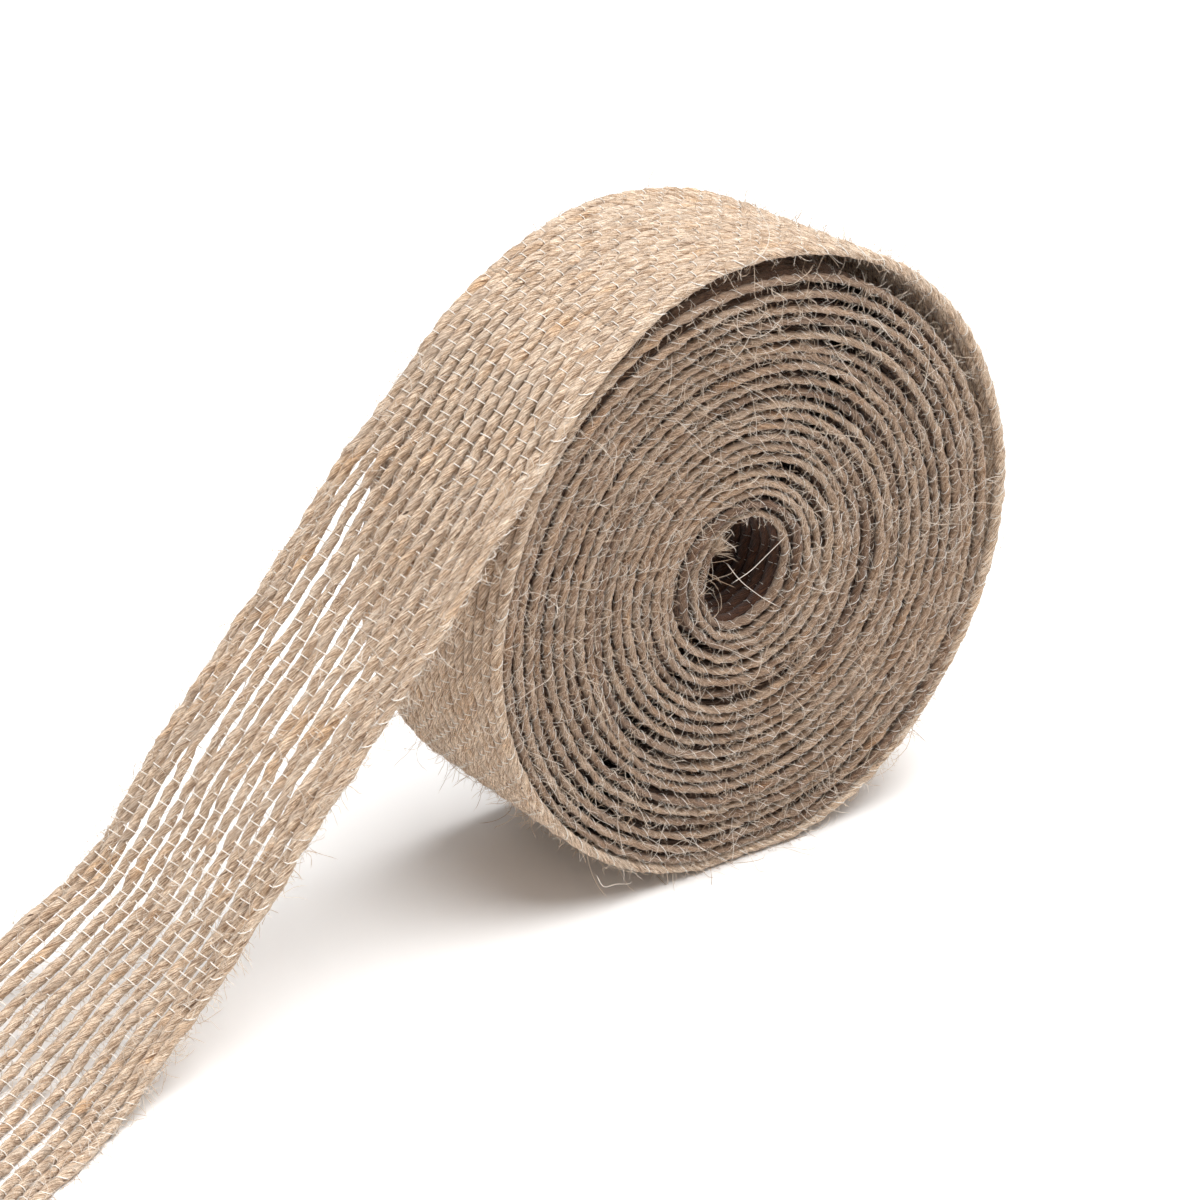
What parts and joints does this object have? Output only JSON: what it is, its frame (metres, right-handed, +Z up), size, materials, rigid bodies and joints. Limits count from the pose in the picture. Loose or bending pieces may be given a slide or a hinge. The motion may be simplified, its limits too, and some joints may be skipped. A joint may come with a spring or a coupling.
{
  "type": "ribbon roll",
  "caption": "Coreless roll of open-weave jute ribbon standing on its rim, with its loose end led over the top and down to the table.",
  "frame": {"origin": "on the table, straight below the roll's axis, under the middle of the eighth yarn from the -Y face", "axes": "+Z up; the roll's axis along Y, its open face with the cut inner end towards -Y; the tail leads away towards -X"},
  "size_m": [0.3086, 0.089, 0.1377],
  "materials": {
    "jute": "matt natural jute yarn, lightly twisted and hairy",
    "weft_thread": "fine off-white thread with a slight gloss"
  },
  "bodies": {
    "roll": {"warp_yarn_01_wound": "jute", "warp_yarn_02_wound": "jute", "warp_yarn_03_wound": "jute", "warp_yarn_04_wound": "jute", "warp_yarn_05_wound": "jute", "warp_yarn_06_wound": "jute", "warp_yarn_07_wound": "jute", "warp_yarn_08_wound": "jute", "warp_yarn_09_wound": "jute", "warp_yarn_10_wound": "jute", "warp_yarn_11_wound": "jute", "warp_yarn_12_wound": "jute", "warp_yarn_13_wound": "jute", "warp_yarn_14_wound": "jute", "warp_yarn_15_wound": "jute", "warp_yarn_16_wound": "jute", "weft_thread_wound": "weft_thread"},
    "tail": {"warp_yarn_01_tail": "jute", "warp_yarn_02_tail": "jute", "warp_yarn_03_tail": "jute", "warp_yarn_04_tail": "jute", "warp_yarn_05_tail": "jute", "warp_yarn_06_tail": "jute", "warp_yarn_07_tail": "jute", "warp_yarn_08_tail": "jute", "warp_yarn_09_tail": "jute", "warp_yarn_10_tail": "jute", "warp_yarn_11_tail": "jute", "warp_yarn_12_tail": "jute", "warp_yarn_13_tail": "jute", "warp_yarn_14_tail": "jute", "warp_yarn_15_tail": "jute", "warp_yarn_16_tail": "jute", "weft_thread_tail": "weft_thread"}
  },
  "joints": [
    {"name": "tail_lift", "type": "hinge", "parent": "roll", "child": "tail", "pos_m": [-0.0481, 0, 0.11273], "axis": [0, 1, 0], "range_deg": [0, 90]}
  ]
}
